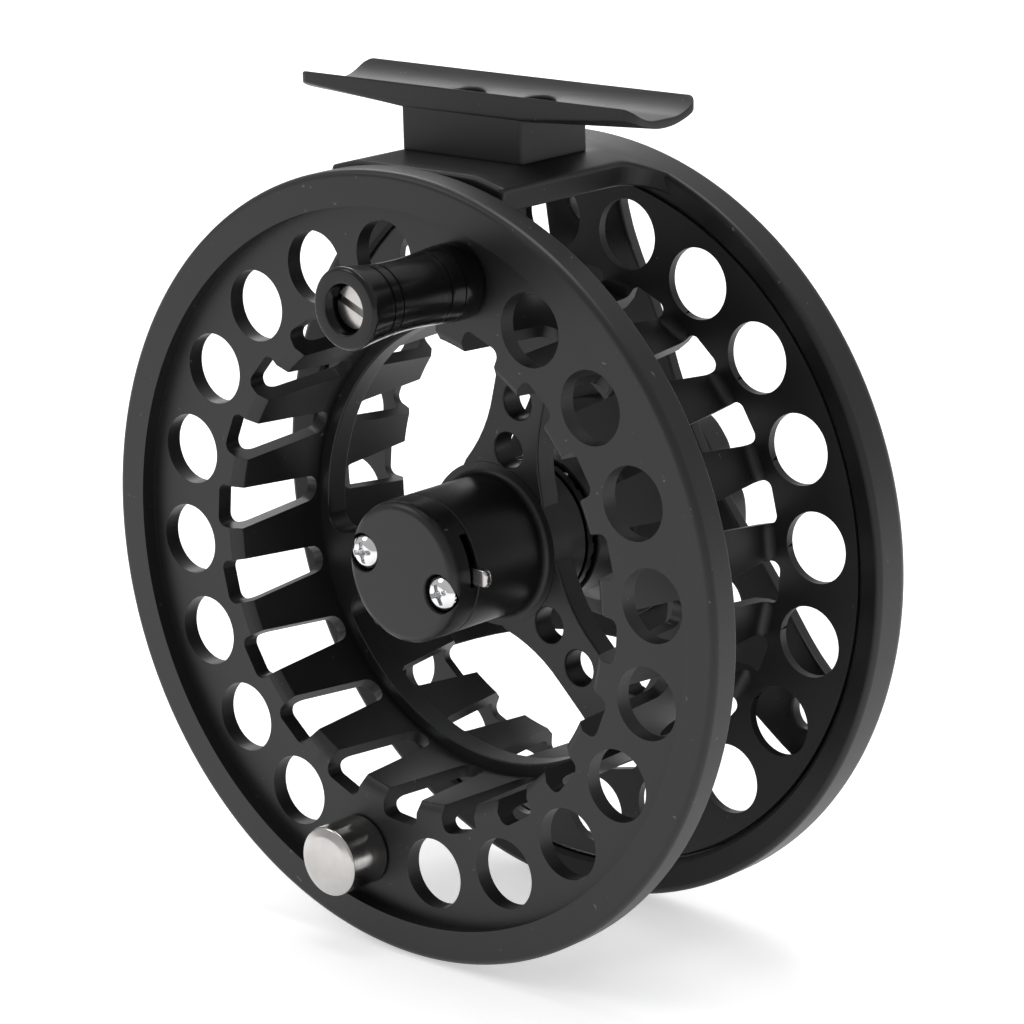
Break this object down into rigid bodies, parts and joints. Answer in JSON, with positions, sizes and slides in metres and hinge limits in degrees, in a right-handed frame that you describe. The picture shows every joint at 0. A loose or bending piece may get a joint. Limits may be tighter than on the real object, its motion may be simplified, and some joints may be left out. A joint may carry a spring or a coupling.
{
  "type": "fly reel",
  "caption": "Large-arbour fly reel with a half frame, vented spool, sealed disc drag, quick-release hub, winding handle and rod foot.",
  "frame": {"origin": "middle of the flat at the bottom of the rod foot's saddle, on the face that meets the rod", "axes": "+Z out of the foot towards the rod, X along the foot and the rod, +Y along the spool axis from the handle side to the drag knob"},
  "size_m": [0.11, 0.0708, 0.1189],
  "materials": {
    "black_anodised": "satin black anodised aluminium",
    "gloss_handle": "polished black",
    "polished_steel": "polished stainless steel",
    "chrome": "bright chrome",
    "bronze": "turned bronze",
    "cork": "cork and fibre composite",
    "nylon": "natural nylon"
  },
  "bodies": {
    "frame": {"frame": "black_anodised", "reel_foot": "black_anodised", "foot_screw_left": "polished_steel", "foot_screw_right": "polished_steel", "spindle": "polished_steel", "spindle_nut": "polished_steel", "cup_snap_ring": "polished_steel", "friction_washer_front": "cork", "friction_washer_rear": "cork", "pressure_plate": "polished_steel", "drag_spring_front": "polished_steel", "drag_spring_rear": "polished_steel", "knob_screw": "polished_steel", "detent_ball": "polished_steel", "detent_spring": "polished_steel", "click_spring": "polished_steel"},
    "spool": {"spool": "black_anodised", "drag_rotor": "polished_steel", "one_way_clutch": "polished_steel", "brake_disc": "polished_steel", "hub_cap": "black_anodised", "cap_screw_left": "chrome", "cap_screw_right": "chrome", "latch_pivot": "polished_steel", "latch_spring": "polished_steel", "front_bearing": "polished_steel", "rear_bearing": "polished_steel", "handle_post": "polished_steel", "handle_screw": "polished_steel", "handle_washer": "nylon", "counterweight": "polished_steel", "counterweight_screw": "polished_steel"},
    "handle": {"handle_knob": "gloss_handle"},
    "latch": {"release_latch": "chrome"},
    "drag_knob": {"drag_knob": "black_anodised"},
    "thrust_ring": {"thrust_ring": "bronze"},
    "click_plunger": {"click_ball": "polished_steel"}
  },
  "joints": [
    {"name": "spool_spin", "type": "hinge", "parent": "frame", "child": "spool", "pos_m": [0, 0, -0.0617], "axis": [0, -1, 0], "continuous": true},
    {"name": "handle_spin", "type": "hinge", "parent": "spool", "child": "handle", "pos_m": [0.01064, -0.0301, -0.02035], "axis": [0, -1, 0], "continuous": true},
    {"name": "latch_swing", "type": "hinge", "parent": "spool", "child": "latch", "pos_m": [-0.0062, -0.0155, -0.0647], "axis": [0, -1, 0], "range_deg": [0, 11], "stiffness_Nm_per_rad": 0.04, "springref_deg": -8.59},
    {"name": "drag_knob_turn", "type": "hinge", "parent": "frame", "child": "drag_knob", "pos_m": [0, 0.0269, -0.0617], "axis": [0, -1, 0], "range_deg": [0, 330]},
    {"name": "thrust_travel", "type": "slide", "parent": "frame", "child": "thrust_ring", "axis": [0, -1, 0], "range_m": [0, 0.00074]},
    {"name": "click_travel", "type": "slide", "parent": "frame", "child": "click_plunger", "axis": [0, 1, 0], "range_m": [0, 0.0005], "stiffness_N_per_m": 400, "springref_m": -0.001}
  ],
  "couplings": [
    {"joint": "thrust_travel", "follows": "drag_knob_turn", "m_per_rad": 0.00012732}
  ]
}
